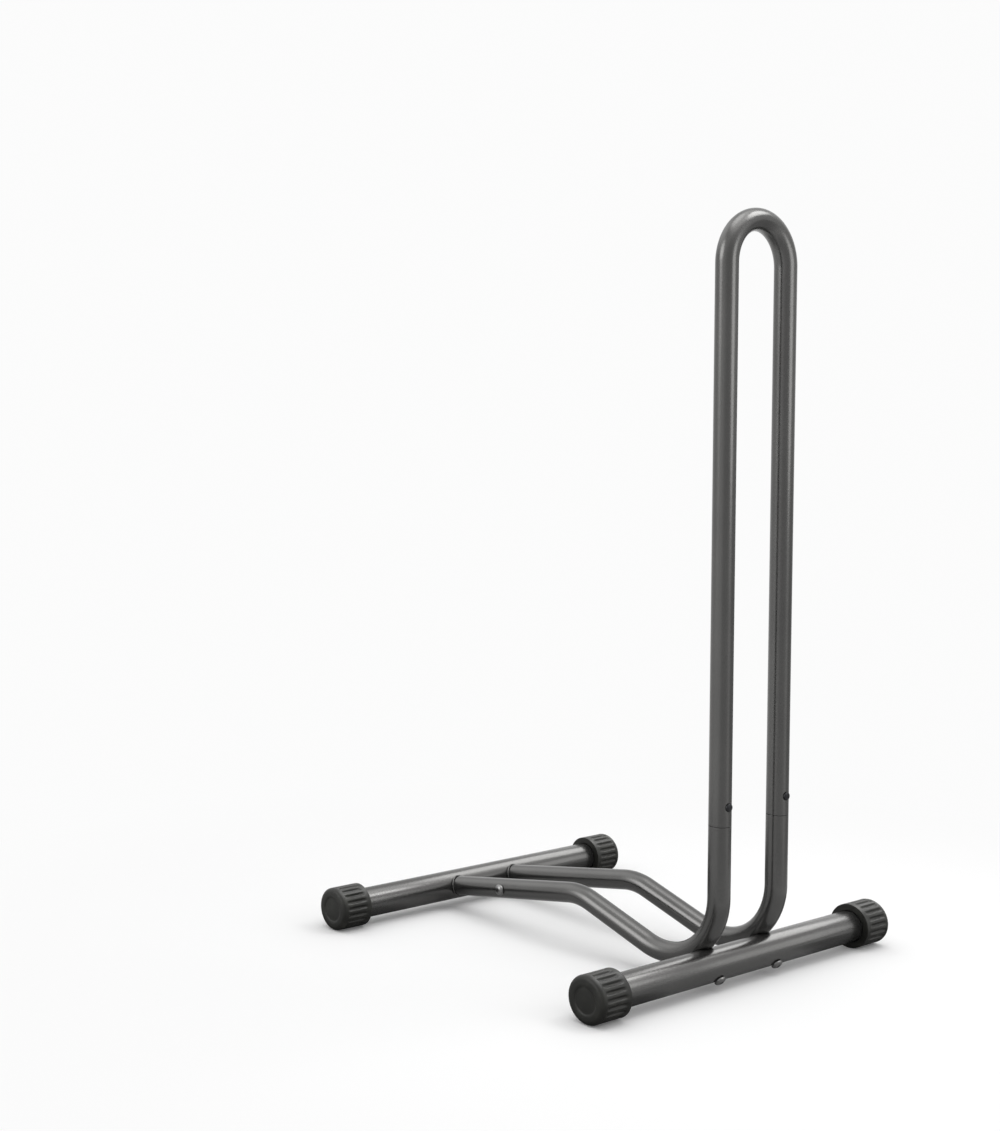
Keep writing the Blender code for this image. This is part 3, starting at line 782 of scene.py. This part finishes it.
def make_cap():
    """A plain round cap with its bore, its dished end and the cuts across it, open in edit mode."""
    half_step = math.pi / CAP_SIDES
    centre = Vector((FRONT_AXIS.x, STAND_END + CAP_LENGTH / 2, FRONT_AXIS.z))
    bpy.ops.object.select_all(action="DESELECT")
    bpy.ops.mesh.primitive_cylinder_add(
        vertices=CAP_SIDES, radius=CAP_RADIUS, depth=CAP_LENGTH, location=centre,
        rotation=(math.pi / 2, half_step, 0))
    cap = bpy.context.object
    cap.name = "ribbed_cap_front_right"
    bpy.ops.object.transform_apply(location=True, rotation=True, scale=True)
    bpy.ops.object.mode_set(mode="EDIT")
    bpy.ops.mesh.select_mode(type="FACE")

    pick(cap, "faces", lambda face: face.normal.y > SQUARE_ON)
    bpy.ops.mesh.inset(thickness=MOUTH_ROUNDING, depth=0)
    bpy.ops.mesh.inset(thickness=CAP_RADIUS - CROSS_RADIUS - GAP - 2 * MOUTH_ROUNDING, depth=0)
    bpy.ops.mesh.inset(thickness=MOUTH_ROUNDING, depth=0)
    push((0, -MOUTH_ROUNDING, 0))
    push((0, CAP_END_WALL + 2 * MOUTH_ROUNDING - CAP_LENGTH, 0))
    push((0, -MOUTH_ROUNDING, 0))

    pick(cap, "faces", lambda face: face.normal.y < -SQUARE_ON)
    bpy.ops.mesh.inset(thickness=CAP_EDGE_RADIUS, depth=0)
    bpy.ops.mesh.inset(thickness=CAP_RADIUS - CAP_EDGE_RADIUS - DISH_RADIUS, depth=0)
    bpy.ops.mesh.inset(thickness=DISH_SLOPE, depth=-DISH_DEPTH)
    bpy.ops.mesh.inset(thickness=DISH_SLOPE, depth=0)
    bpy.ops.mesh.inset(thickness=DISH_RADIUS / 2, depth=0)

    for from_end in CUTS:
        cut_across(cap, STAND_END + from_end)
    return cap


def carve_grooves(cap):
    """Draws in the three middle lines of each groove, between its ends."""
    pitch = 2 * math.pi / RIB_COUNT
    low = STAND_END + GROOVE_START + GROOVE_RUN_OUT / 2
    high = STAND_END + GROOVE_END - GROOVE_RUN_OUT / 2

    def in_groove(vertex):
        x = vertex.co.x - FRONT_AXIS.x
        z = vertex.co.z - FRONT_AXIS.z
        turned = math.atan2(x, -z) / pitch - 0.5
        faces_from_middle = abs(turned - round(turned)) * FACES_PER_RIB
        on_side = math.hypot(x, z) > CAP_RADIUS * CAP_SIDE_SHARE
        return faces_from_middle < LINES_DRAWN_IN and low < vertex.co.y < high and on_side

    bpy.ops.mesh.select_mode(type="VERT")
    count = pick(cap, "verts", in_groove)
    scale_across(1 - GROOVE_PULL / CAP_RADIUS, FRONT_AXIS)
    return count


def round_cap_edge(cap):
    """Bevels the corner between the cap's side and its end."""
    bpy.ops.mesh.select_mode(type="EDGE")

    def on_corner(edge):
        ends = [vertex.co for vertex in edge.verts]
        flat = all(abs(end.y - STAND_END) < CLOSE for end in ends)
        reach = [math.hypot(end.x - FRONT_AXIS.x, end.z - FRONT_AXIS.z) for end in ends]
        return flat and min(reach) > CAP_RADIUS - 10 * CLOSE

    pick(cap, "edges", on_corner)
    offset = CAP_EDGE_RADIUS * CAP_EDGE_SHARE
    bpy.ops.mesh.bevel(offset=offset, segments=CAP_EDGE_STEPS, affect="EDGES")


def copy_piece(piece, name, matrix):
    """A copy with its own mesh, moved by a matrix that turns and shifts but never mirrors."""
    twin = piece.copy()
    twin.data = piece.data.copy()
    twin.name = name
    twin.data.name = name
    twin.data.transform(matrix)
    bpy.context.scene.collection.objects.link(twin)
    return twin


cap = make_cap()
print("grooves drawn in at", carve_grooves(cap), "points")
round_cap_edge(cap)
close_edit()
apply_modifier(cap, "SUBSURF", levels=2, render_levels=2)
about_front_axis = Matrix.Translation(FRONT_AXIS)
half_turn = about_front_axis @ Matrix.Rotation(math.pi, 4, "Z") @ about_front_axis.inverted()
to_rear = Matrix.Translation(REAR_AXIS - FRONT_AXIS)
caps = {
    "front_right": cap,
    "front_left": copy_piece(cap, "ribbed_cap_front_left", half_turn),
    "rear_right": copy_piece(cap, "ribbed_cap_rear_right", to_rear),
    "rear_left": copy_piece(cap, "ribbed_cap_rear_left", to_rear @ half_turn),
}
for place, piece in caps.items():
    finish_piece(piece, CAP_BLACK, "cap_black", "end_cap_" + place)


# %% [markdown]
# ## Bolts and snap buttons
#
# Turned parts are drawn as on a lathe: a circle is pushed along the axis and widened or narrowed
# at each step of the profile. A bolt has a low round head with a six-sided socket. A snap button
# is a domed pin, and the small head of its rivet tail holds it on its leaf spring.

# %% Bolts and snap buttons
HEAD_RADIUS = 0.0070
HEAD_HEIGHT = 0.0044
HEAD_RIM = 0.0008
SOCKET_WIDTH = 0.0050
SOCKET_DEPTH = 0.0026
NUT_HEIGHT = 0.0065
BOLT_PAST_NUT = 0.0020
BOLT_CHAMFER = BOLT_RADIUS / 4
TURNED_SIDES = 48
DOME_STEPS = 8
BUTTON_DOME = 0.0018
RIVET_RADIUS = 0.0015
RIVET_HEAD_RADIUS = 0.0028
RIVET_HEAD_HEIGHT = 0.0008
SPRING_WIDTH = 0.0080
SPRING_THICKNESS = 0.0008


def turn_part(name, origin, direction, profile, sides=TURNED_SIDES):
    """Turns a solid round an axis from (radius, height) pairs."""
    axis = Vector(direction).normalized()
    radius, height = profile[0]
    part = start_tube(name, Vector(origin) + axis * height, axis, radius, sides)
    bpy.ops.mesh.edge_face_add()
    for next_radius, next_height in profile[1:]:
        push(axis * (next_height - height))
        squeeze(next_radius / radius, Vector(origin) + axis * next_height)
        radius, height = next_radius, next_height
    close_edit()
    return part


def dome(radius, top, drop):
    """A profile from a dome's rim to near its top."""
    angles = [math.pi / 2 * step / DOME_STEPS for step in range(DOME_STEPS)]
    return [(radius * math.cos(angle), top - drop * (1 - math.sin(angle))) for angle in angles]


def make_bolt(node, name, seat, direction, length):
    """A bolt whose head's seat is at a point and whose shank runs along a direction."""
    direction = Vector(direction)
    profile = [(BOLT_RADIUS - BOLT_CHAMFER, -length), (BOLT_RADIUS, BOLT_CHAMFER - length)]
    profile += [(BOLT_RADIUS, 0)]
    profile += [(HEAD_RADIUS - EDGE_ROUNDING, 0), (HEAD_RADIUS, EDGE_ROUNDING)]
    profile += dome(HEAD_RADIUS, HEAD_HEIGHT, HEAD_HEIGHT - HEAD_RIM)
    bolt = turn_part(name, seat, -direction, profile)
    head_top = Vector(seat) - direction * HEAD_HEIGHT
    key = add_rod(SOCKET_WIDTH / math.sqrt(3), 2 * SOCKET_DEPTH, head_top, direction, sides=6)
    apply_modifier(bolt, "BOOLEAN", operation="DIFFERENCE", solver="EXACT", object=key)
    remove(key)
    finish_piece(bolt, ZINC, "zinc", node)


def make_button(side, sign):
    """A domed pin whose tail goes through its spring."""
    base, tip = (corner.x - LEG_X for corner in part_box("snap_button_" + side))
    tail = base + RIVET_HEAD_HEIGHT
    shoulder = tail + SPRING_THICKNESS + 2 * GAP
    profile = [(RIVET_HEAD_RADIUS, base), (RIVET_HEAD_RADIUS, tail)]
    profile += [(RIVET_RADIUS, tail), (RIVET_RADIUS, shoulder)]
    profile += [(BUTTON_RADIUS - EDGE_ROUNDING, shoulder), (BUTTON_RADIUS, shoulder + EDGE_ROUNDING)]
    profile += dome(BUTTON_RADIUS, tip, BUTTON_DOME)
    origin = (LEG_X, sign * LEG_Y, BUTTON_HEIGHT)
    button = turn_part("button_" + side, origin, (1, 0, 0), profile)
    finish_piece(button, BLACK_STEEL, "black_steel", "snap_button_" + side)


for side, sign in SIDES.items():
    across = Vector((0, sign * LEG_Y, 0))
    seat = FRONT_AXIS + across - SADDLE_BOLT_DIRECTION * (CROSS_RADIUS + GAP)
    front_length = 2 * CROSS_RADIUS + TUBE_WALL + 3 * GAP + NUT_HEIGHT + BOLT_PAST_NUT
    make_bolt("front_bolt_" + side, "saddle_bolt_" + side, seat, SADDLE_BOLT_DIRECTION, front_length)
    out = Vector((0, sign, 0))
    seat = REAR_AXIS + across + RAIL_DIRECTION * RAIL_BOLT_REACH + out * (TUBE_RADIUS + GAP)
    rail_length = abs(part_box("rail_bolt_" + side)[0 if sign > 0 else 1].y - seat.y)
    make_bolt("rail_bolt_" + side, "stub_bolt_" + side, seat, -out, rail_length)
    make_button(side, sign)


# %% [markdown]
# ## Leaf springs and nuts
#
# Behind each button, inside the plug, sits a strip of spring steel that is bent into a U. A plane
# is its front arm, which carries the button. The arm's lower edge is spun round two bends and
# pushed up the back of the plug. On the real stand, when the button is pressed, the front arm has
# to give way, so the spring flattens towards its back arm by as much as the button travels. Here
# the spring is made in its rest shape only.
#
# The nuts sit inside the tubes too. The solid model already has their shape, and they only need
# their finish.

# %% Leaf springs and nuts
SPRING_BEND_SHARE = 0.9  # of half the spring's width, so that a little of its foot stays flat
SPRING_BEND_STEPS = 8
SPRING_EDGE_ROUNDING = SPRING_THICKNESS / 5
JOINTS = frame["record"]["behaviour"]["joints"]
BUTTON_TRAVEL = {joint["name"]: joint["range_m"][1] for joint in JOINTS}


def make_leaf_spring(side, sign):
    """A bent strip of spring steel behind its button, made in its rest shape."""
    low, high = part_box("button_spring_" + side)
    front = high.x - SPRING_THICKNESS / 2
    back = low.x + SPRING_THICKNESS / 2
    foot = low.z + SPRING_THICKNESS / 2
    radius = (front - back) / 2 * SPRING_BEND_SHARE
    arm_bottom = foot + radius
    bend_level = Vector((0, sign * LEG_Y, arm_bottom))
    bpy.ops.object.select_all(action="DESELECT")
    bpy.ops.mesh.primitive_plane_add(size=1, rotation=(0, math.pi / 2, 0))
    spring = bpy.context.object
    spring.name = "leaf_spring_" + side
    spring.data.name = spring.name
    spring.scale = (high.z - arm_bottom, SPRING_WIDTH, 1)
    spring.location = (front, bend_level.y, (high.z + arm_bottom) / 2)
    bpy.ops.object.transform_apply(location=True, rotation=True, scale=True)
    bpy.ops.object.mode_set(mode="EDIT")
    bpy.ops.mesh.select_mode(type="EDGE")
    pick(spring, "edges", lambda edge: all(end.co.z < arm_bottom + GAP for end in edge.verts))
    bend(bend_level + Vector((front - radius, 0, 0)), (0, -1, 0), math.pi / 2, SPRING_BEND_STEPS)
    push((back - front + 2 * radius, 0, 0))
    bend(bend_level + Vector((back + radius, 0, 0)), (0, -1, 0), math.pi / 2, SPRING_BEND_STEPS)
    push((0, 0, high.z - arm_bottom))
    close_edit()
    apply_modifier(spring, "SOLIDIFY", thickness=SPRING_THICKNESS, offset=0.0, use_even_offset=True)
    button = (front, bend_level.y, BUTTON_HEIGHT)
    drill(spring, RIVET_RADIUS + GAP, 4 * SPRING_THICKNESS, button, (1, 0, 0))
    round_edges(spring, SPRING_EDGE_ROUNDING)
    finish_piece(spring, SPRING_STEEL, "spring_steel", "button_spring_" + side)
    joint = "button_" + side + "_press"
    keep = 1 - BUTTON_TRAVEL[joint] / (high.x - low.x)
    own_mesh(spring)


for side, sign in SIDES.items():
    make_leaf_spring(side, sign)
for node, thing in frame["nodes"].items():
    if "nut" in node:
        thing.material_slots[0].material = ZINC


# %% [markdown]
# ## The floor and the light
#
# The stand is shown as in a studio: on a pale floor that has no visible end, under wide soft
# light. Matt surfaces get an even, overcast light from the world and a little from a lamp above,
# so the shadows are soft and close to the tubes. The tubes are glossy, and what shapes them is
# what they mirror, so the world shows them a white room with a few brighter and darker parts.
# Each is a round patch of directions, given by its azimuth and elevation and by the angles where
# it starts and ends to fade. Azimuth 0 is the stand's right side and 90 its front.

# %% The white room
BACKGROUND_WHITE = 0.97
SKY_LOW = 0.20  # the even light on matt surfaces, from the horizon
SKY_RISE = 0.93  # and how much more it is from straight above
ROOM_PATCHES = (
    # azimuth, elevation, where the fade starts and ends, brightness
    (-22, 24, 6, 24, 3.3),
    (-74, 46, 6, 32, 0.8),
    (130, 76, 10, 42, 1.6),
    (62, 5, 5, 50, -0.36),
    (165, -5, 10, 30, -0.30),
    (-56, -6, 6, 40, -0.08),
)


def way_to(azimuth, elevation):
    """The direction with an azimuth and an elevation in degrees."""
    turn = math.radians(azimuth)
    rise = math.radians(elevation)
    return Vector((math.sin(turn) * math.cos(rise), -math.cos(turn) * math.cos(rise), math.sin(rise)))


def patch(nearness, fade_start, fade_end):
    """1 in the middle of a round patch of directions and 0 outside it, from the cosine of the angle."""
    return nearness.between(math.cos(math.radians(fade_end)), math.cos(math.radians(fade_start)))


def ray_kind(sums, kind):
    return sums.node("ShaderNodeLightPath", {}, {}, kind)


def in_mirrors(sums):
    """1 for rays that come from a mirror or through glass, and 0 for the rest."""
    glossy = ray_kind(sums, "Is Glossy Ray")
    through_glass = ray_kind(sums, "Is Transmission Ray")
    return glossy.maths("MAXIMUM", glossy, through_glass)


def make_world():
    """White for the camera, the room's patches for gloss, and even light for the rest."""
    world = bpy.data.worlds.new("studio")
    bpy.context.scene.world = world
    world.use_nodes = True
    sums = Sums(world.node_tree, "Generated")
    room = BACKGROUND_WHITE
    for azimuth, elevation, fade_start, fade_end, brightness in ROOM_PATCHES:
        room = patch(sums.along(way_to(azimuth, elevation)), fade_start, fade_end) * brightness + room
    height = sums.along((0, 0, 1))
    sky = height.between(0.0, 1.0) * SKY_RISE + SKY_LOW
    camera = ray_kind(sums, "Is Camera Ray")
    mirror = in_mirrors(sums)
    strength = camera * BACKGROUND_WHITE + mirror * room + (1 - camera) * (1 - mirror) * sky
    background = world.node_tree.nodes["Background"]
    background.inputs["Color"].default_value = grey(1.0)
    sums.connect(background.inputs["Strength"], strength)


make_world()
bpy.context.scene.view_settings.view_transform = "Standard"
print("a white room with", len(ROOM_PATCHES), "patches")


# %% [markdown]
# The floor is a plain pale sheet. Near the stand it is a real surface, which takes the shadow.
# Further out it turns by degrees into the white of the background. Mirrors show it darker than it
# is, a painted shade in its reflections that darkens the undersides of the tubes and caps: near
# the stand, more so close to the caps, and most of all in front and on the left.

# %% The floor
FLOOR_SIZE = 60.0
FLOOR_COLOUR = 0.95
FLOOR_ROUGHNESS = 0.9
FLOOR_FADE = (0.40, 1.0)  # distance from the middle where it starts and ends to turn into background
FLOOR_SHEER = 0.07  # share of the background that comes through the floor everywhere
# painted shade in reflections: mirrors show the floor darker near the stand and close to each cap
FLOOR_MIRROR_SHADE = 0.40  # how much darker mirrors show the floor near the stand
FLOOR_MIRROR_SHADE_REACH = (0.38, 0.60)  # distance from the middle where that starts and ends to fade
CAP_MIRROR_SHADE = 0.75  # how much darker they show it close to each cap
CAP_MIRROR_SHADE_REACH = (0.06, 0.17)  # distance from the cap's middle where that starts and ends to fade
# painted shade in reflections: mirrors show the floor darker towards these sides
DARK_SIDES = (
    # azimuth, where the fade starts and ends, depth
    (66, 12, 48, 0.36),
    (155, 15, 45, 0.55),
)


def make_floor():
    """A sheet that the camera sees as floor, and mirrors see darker, with painted shade near the stand.
    """
    bpy.ops.object.select_all(action="DESELECT")
    bpy.ops.mesh.primitive_plane_add(size=FLOOR_SIZE, location=(0, 0, 0))
    floor = bpy.context.object
    floor.name = "floor"
    finish = Finish("pale_floor")
    finish.set(base_color=grey(FLOOR_COLOUR), roughness=FLOOR_ROUGHNESS)
    distance = finish.node("ShaderNodeVectorMath", {"operation": "LENGTH"}, {0: finish.place}, "Value")
    far = distance.between(*FLOOR_FADE)
    mirror = in_mirrors(finish)
    # painted shade in reflections: for mirrors the floor's white turns black near the stand and darker
    # towards the dark sides
    shade = 1 - far
    for azimuth, fade_start, fade_end, depth in DARK_SIDES:
        shade = patch(finish.along(way_to(azimuth, 0)) / distance, fade_start, fade_end) * depth + shade
    # painted shade in reflections, reaching furthest close to each cap
    painted_mirror_shade = (1 - distance.between(*FLOOR_MIRROR_SHADE_REACH)) * FLOOR_MIRROR_SHADE
    folded = finish.node("ShaderNodeVectorMath", {"operation": "ABSOLUTE"}, {0: finish.place})
    cap_middle = (FRONT_AXIS.x, -STAND_END - CAP_LENGTH / 2, 0)
    ends = {0: folded, 1: cap_middle}
    to_cap = finish.node("ShaderNodeVectorMath", {"operation": "DISTANCE"}, ends, "Value")
    cap_mirror_shade = (1 - to_cap.between(*CAP_MIRROR_SHADE_REACH)) * CAP_MIRROR_SHADE
    painted_mirror_shade = painted_mirror_shade.maths("MAXIMUM", painted_mirror_shade, cap_mirror_shade)
    white = finish.mix(mirror * shade, grey(BACKGROUND_WHITE), grey(0.0))
    emission = finish.node("ShaderNodeEmission", {}, {"Color": white})
    through = far * (1 - FLOOR_SHEER) + FLOOR_SHEER
    through = through + (1 - through) * mirror * painted_mirror_shade
    seen = ray_kind(finish, "Is Camera Ray") + mirror
    mixed = finish.node("ShaderNodeMixShader", {}, {0: through * seen, 2: emission})
    finish.tree.links.new(finish.shader.outputs["BSDF"], mixed.socket.node.inputs[1])
    output = finish.tree.nodes["Material Output"]
    finish.tree.links.new(mixed.socket, output.inputs["Surface"])
    floor.data.materials.append(finish.material)
    return floor


floor = make_floor()
print("made", floor.name)


# %% [markdown]
# The lamps are round and soft. One hangs high above, one lights the top of the hoop, and one
# stands beside it. Three more are far away on the left: two draw the long highlights on the cross
# tubes, and one brightens the tops of the caps. In a studio a flag, which is a board on a stand,
# would keep these three off the hoop. Light linking does that here: a lamp's receivers are the
# only pieces that it lights.

# %% Lamps
LAMPS = (
    # name, what it faces, azimuth, elevation, distance, radius, radiance, what it lights
    ("top_lamp", "floor", 0, 90, 4.0, 1.0, 1.5, "all"),
    ("hoop_lamp", "hoop", 148, 44, 0.8, 0.23, 5.3, "all"),
    ("side_lamp", "hoop", 109, 0, 1.16, 0.37, 1.9, "all"),
    ("left_lamp", "tube", 187, 41, 9.0, 2.6, 3.2, "tubes and caps"),
    ("low_lamp", "tube", 147, 13, 9.0, 1.95, 1.15, "tubes and caps"),
    ("cap_lamp", "tube", 190, 62, 9.0, 2.8, 3.2, "caps"),
)
LAMP_TARGETS = {
    "floor": Vector((0, 0, 0)),
    "hoop": Vector((LEG_X, 0, HOOP_TOP)),
    "tube": Vector((0, 0, FRONT_AXIS.z)),
}


def make_lamp(name, target, azimuth, elevation, distance, radius, radiance):
    """A round soft lamp that stands in a direction from a target and faces it."""
    data = bpy.data.lights.new(name, "AREA")
    data.shape = "DISK"
    data.size = 2 * radius
    data.energy = radiance * math.pi * math.pi * radius ** 2
    lamp = bpy.data.objects.new(name, data)
    way = way_to(azimuth, elevation)
    lamp.location = target + way * distance
    lamp.rotation_mode = "QUATERNION"
    lamp.rotation_quaternion = (-way).to_track_quat("-Z", "Y")
    lamp.visible_camera = False
    bpy.context.scene.collection.objects.link(lamp)
    return lamp


def light_only(lamp, pieces):
    """Links a lamp to the pieces that it lights."""
    receivers = bpy.data.collections.new(lamp.name + "_receivers")
    for piece in pieces:
        receivers.objects.link(piece)
    lamp.light_linking.receiver_collection = receivers


receivers = {"caps": list(caps.values())}
receivers["tubes and caps"] = [front_tube, rear_tube] + receivers["caps"]
for name, target, azimuth, elevation, distance, radius, radiance, lit in LAMPS:
    lamp = make_lamp(name, LAMP_TARGETS[target], azimuth, elevation, distance, radius, radiance)
    if lit in receivers:
        light_only(lamp, receivers[lit])
    print(name, "lights", lit)
